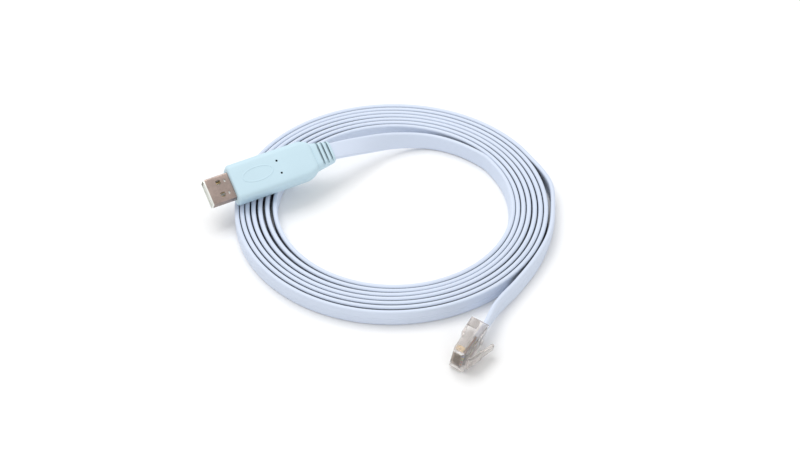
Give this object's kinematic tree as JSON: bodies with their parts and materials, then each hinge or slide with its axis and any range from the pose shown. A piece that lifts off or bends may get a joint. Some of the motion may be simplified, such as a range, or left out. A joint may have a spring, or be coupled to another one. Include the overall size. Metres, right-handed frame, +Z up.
{
  "type": "flat console cable with a USB plug and an RJ45 plug",
  "caption": "Flat cable wound on edge in a round coil, with a moulded USB-A plug at one end and a clear RJ45 plug at the other.",
  "frame": {"origin": "on the floor, under the middle of the whole object's box", "axes": "+Z up; +X towards the side where the RJ45 end leaves the coil; the USB plug's mouth faces -X and the RJ45 plug's front -Y"},
  "size_m": [0.151, 0.1546, 0.0224],
  "materials": {
    "cable": "satin flexible jacket",
    "housing": "soft satin moulding",
    "steel": "nickel-plated, fine brushed",
    "tongue": "smooth",
    "gold": "gold-plated, polished",
    "clear": "clear polycarbonate",
    "wire_1": "insulation",
    "wire_2": "insulation",
    "wire_3": "insulation",
    "wire_4": "insulation",
    "wire_5": "insulation",
    "wire_6": "insulation",
    "wire_7": "insulation",
    "wire_8": "insulation"
  },
  "bodies": {
    "root": {"cable_coil": "cable", "cable_usb_end": "cable", "cable_rj45_end": "cable", "usb_housing": "housing", "usb_shell": "steel", "usb_tongue": "tongue", "rj45_body": "clear", "rj45_contact_1": "gold", "rj45_contact_2": "gold", "rj45_contact_3": "gold", "rj45_contact_4": "gold", "rj45_contact_5": "gold", "rj45_contact_6": "gold", "rj45_contact_7": "gold", "rj45_contact_8": "gold", "usb_contact_1": "gold", "usb_contact_2": "gold", "usb_contact_3": "gold", "usb_contact_4": "gold", "wire_1": "wire_1", "wire_2": "wire_2", "wire_3": "wire_3", "wire_4": "wire_4", "wire_5": "wire_5", "wire_6": "wire_6", "wire_7": "wire_7", "wire_8": "wire_8"}
  },
  "joints": []
}
